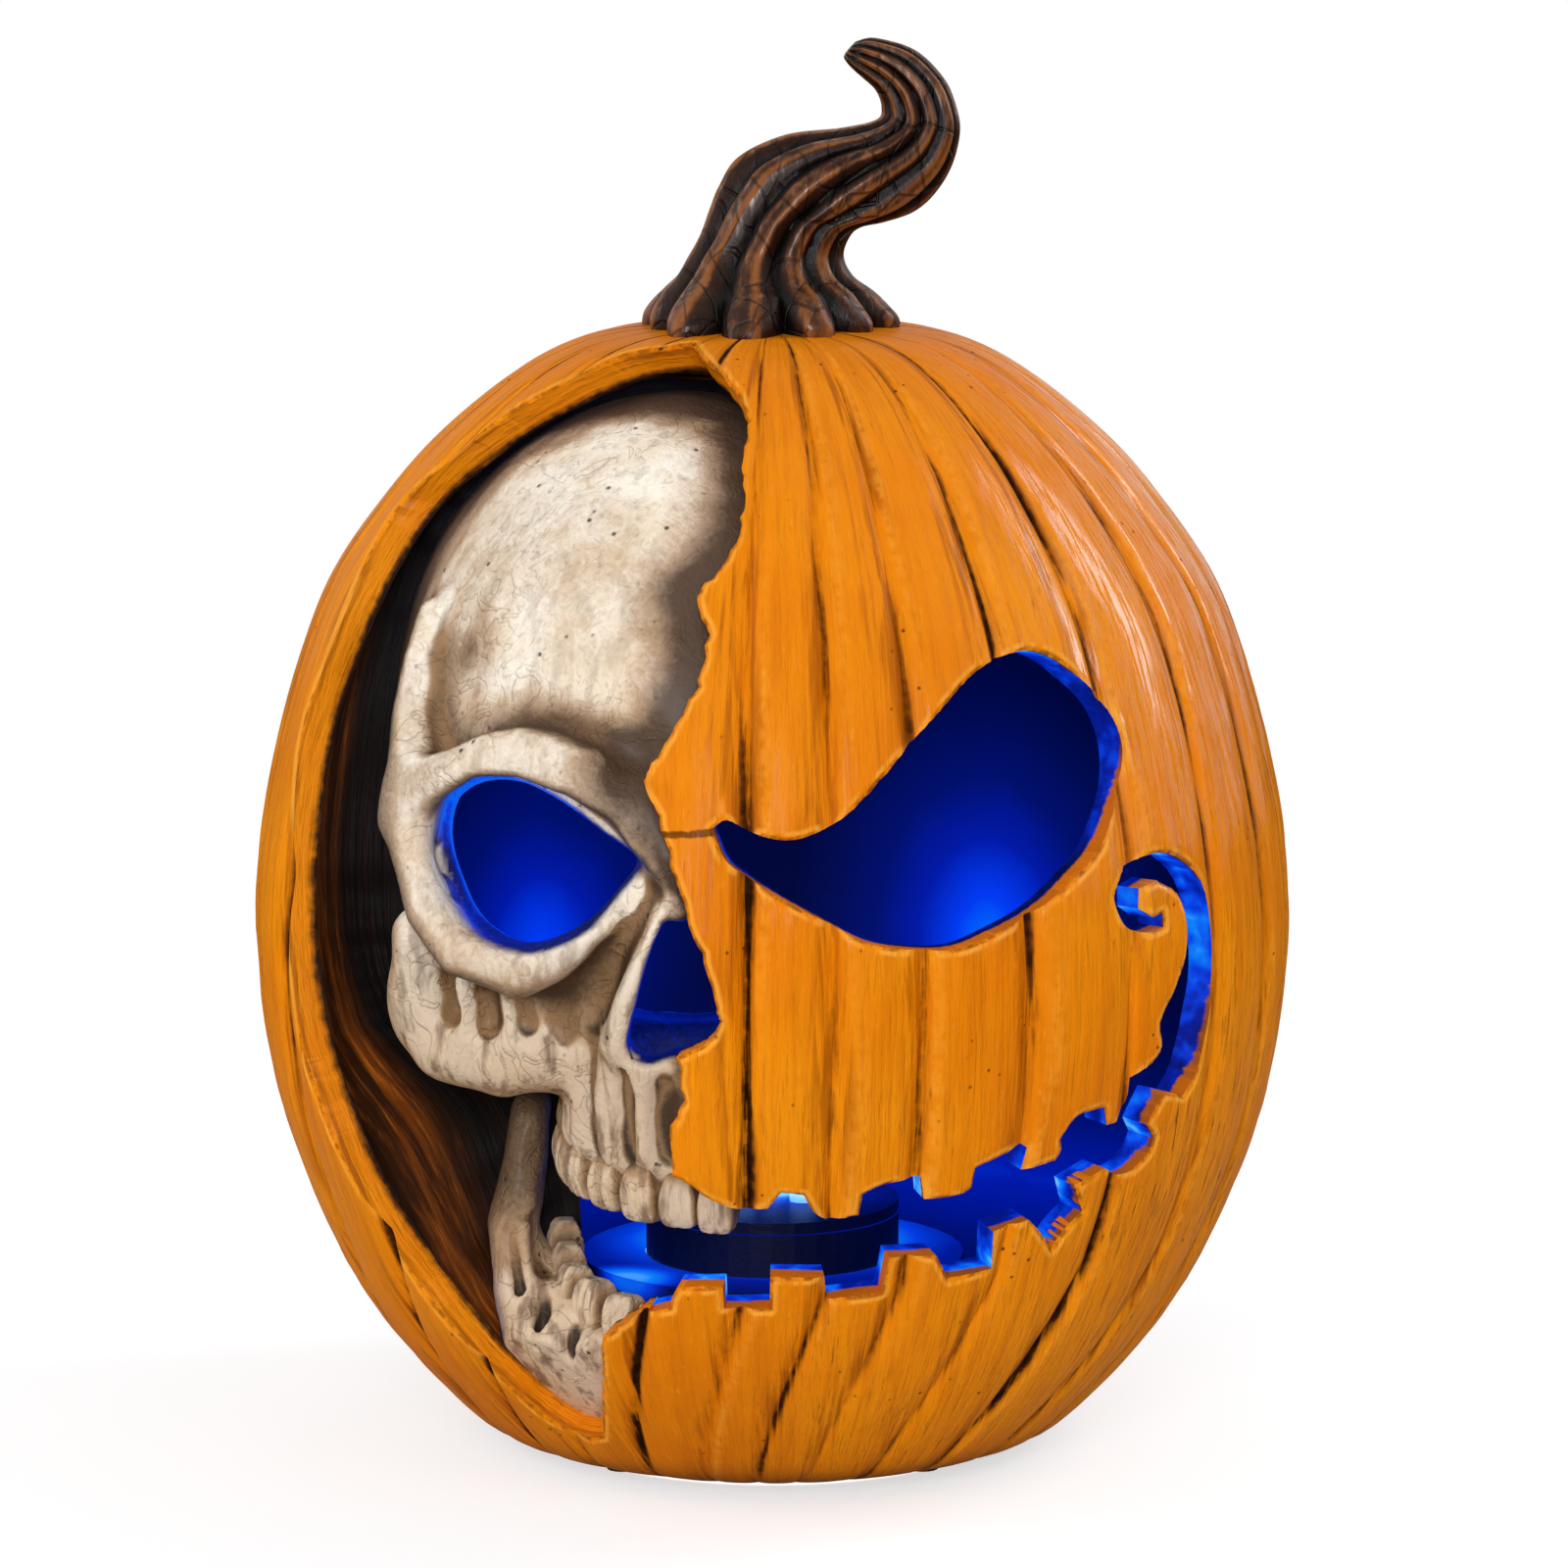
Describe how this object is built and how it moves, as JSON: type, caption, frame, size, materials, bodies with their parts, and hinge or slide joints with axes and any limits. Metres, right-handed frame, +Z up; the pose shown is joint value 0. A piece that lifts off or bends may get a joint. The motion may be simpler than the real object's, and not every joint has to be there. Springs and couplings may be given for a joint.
{
  "type": "light-up jack-o'-lantern",
  "caption": "Hollow ribbed pumpkin lantern with a carved eye and grin, a half skull set in its broken side, a curled stem and a battery light in its base.",
  "frame": {"origin": "on the ground under the middle of the pumpkin body", "axes": "+Z up; the carved face looks along -Y; the skull is on the -X side"},
  "size_m": [0.236, 0.2359, 0.3216],
  "materials": {
    "well_plastic": "dark moulded plastic, washed blue by the light",
    "pumpkin_paint": "orange painted cast resin, clear coated, brown brushed into the grooves",
    "stem_paint": "dark brown painted cast resin with copper-brown ridges, high gloss",
    "niche_paint": "dark brown painted resin with orange-brown streaks",
    "bone_paint": "bone coloured painted resin with a brown wash",
    "housing_plastic": "black injection-moulded plastic",
    "lid_plastic": "dark moulded plastic lid",
    "door_plastic": "black injection-moulded plastic",
    "board_green": "green circuit board",
    "cell_wrap": "plain dark grey cell wrap",
    "spring_steel": "nickel-plated spring steel",
    "screw_steel": "zinc-plated steel",
    "switch_plastic": "black plastic switch case",
    "knob_plastic": "white plastic switch knob",
    "lead_red": "red wire insulation",
    "lead_black": "black wire insulation",
    "pad_rubber": "dark foam rubber",
    "led_lens": "clear epoxy lens, lit blue"
  },
  "bodies": {
    "lantern": {"pumpkin_shell": "pumpkin_paint", "light_well": "well_plastic", "stem": "stem_paint", "niche_liner": "niche_paint", "skull": "bone_paint", "jaw": "bone_paint", "light_housing": "housing_plastic", "light_lid": "lid_plastic", "led_board": "board_green", "led_1": "led_lens", "led_2": "led_lens", "led_3": "led_lens", "battery_1": "cell_wrap", "battery_spring_1": "spring_steel", "contact_plate_1": "spring_steel", "battery_2": "cell_wrap", "battery_spring_2": "spring_steel", "contact_plate_2": "spring_steel", "battery_3": "cell_wrap", "battery_spring_3": "spring_steel", "contact_plate_3": "spring_steel", "switch_body": "switch_plastic", "lead_red": "lead_red", "lead_black": "lead_black", "mounting_screw_1": "screw_steel", "mounting_screw_2": "screw_steel", "mounting_screw_3": "screw_steel", "foot_pad_1": "pad_rubber", "foot_pad_2": "pad_rubber", "foot_pad_3": "pad_rubber", "foot_pad_4": "pad_rubber"},
    "battery_door": {"battery_door": "door_plastic"},
    "door_screw": {"door_screw": "screw_steel"},
    "switch_knob": {"switch_knob": "knob_plastic"}
  },
  "joints": [
    {"name": "battery_door_hinge", "type": "hinge", "parent": "lantern", "child": "battery_door", "pos_m": [-0.028, 0, 0.00513], "axis": [0, 1, 0], "range_deg": [0, 90]},
    {"name": "door_screw_turn", "type": "hinge", "parent": "battery_door", "child": "door_screw", "pos_m": [0.0301, 0, 0.005], "axis": [0, 0, 1], "continuous": true},
    {"name": "power_switch_slide", "type": "slide", "parent": "lantern", "child": "switch_knob", "axis": [1, 0, 0], "range_m": [0, 0.004]}
  ]
}
